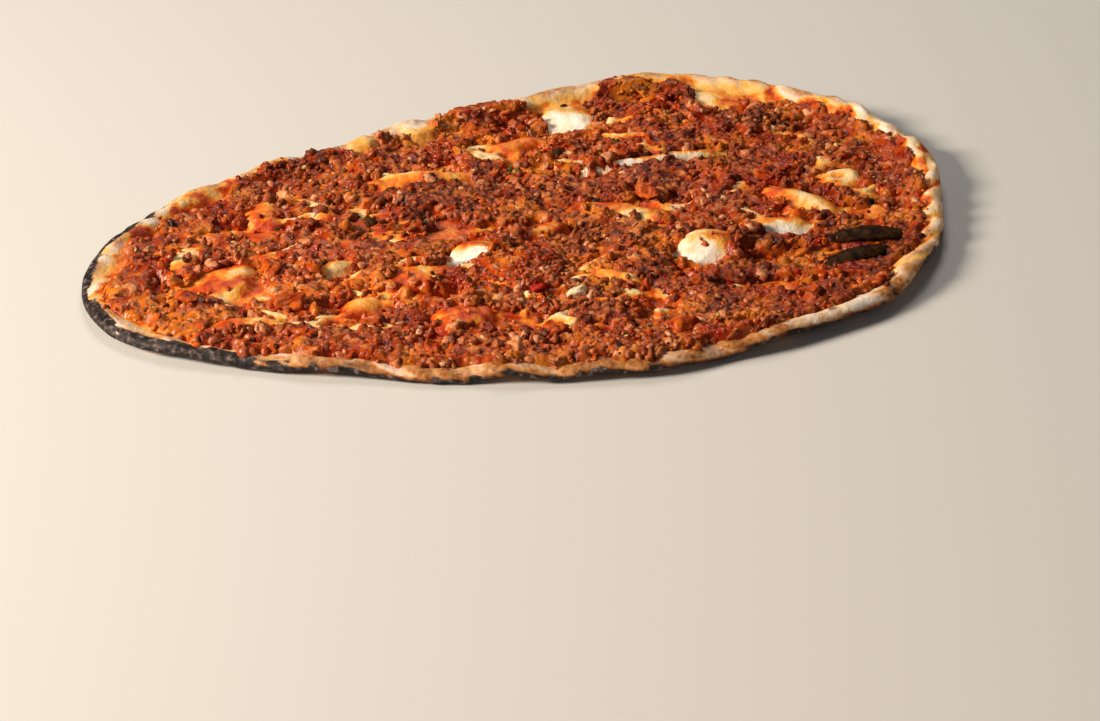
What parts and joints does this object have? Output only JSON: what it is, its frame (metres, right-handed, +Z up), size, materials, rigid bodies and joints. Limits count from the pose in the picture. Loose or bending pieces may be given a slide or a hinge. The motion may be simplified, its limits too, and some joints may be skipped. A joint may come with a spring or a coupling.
{
  "type": "lahmacun",
  "caption": "Thin oval flatbread with a raised uneven rim, covered with baked minced meat and tomato, with bare dough blisters and strips of roasted green pepper.",
  "frame": {"origin": "middle of the outline's box, at the level of the flat underside", "axes": "+X along the long axis towards the wide end, +Y across, +Z up"},
  "size_m": [0.33, 0.2132, 0.0113],
  "materials": {
    "bread": "matte baked dough, browned and partly charred",
    "minced_meat": "moist baked mince with oil",
    "tomato": "wet and soft",
    "red_pepper": "wet skin",
    "onion": "moist",
    "green_pepper": "roasted wet skin"
  },
  "bodies": {
    "root": {"bread": "bread", "topping": "minced_meat", "tomato_piece_1": "tomato", "tomato_piece_2": "tomato", "tomato_piece_3": "tomato", "tomato_piece_4": "tomato", "tomato_piece_5": "tomato", "tomato_piece_6": "tomato", "tomato_piece_7": "tomato", "red_pepper_piece": "red_pepper", "onion_piece": "onion", "pepper_slice_1": "green_pepper", "pepper_slice_2": "green_pepper"}
  },
  "joints": []
}
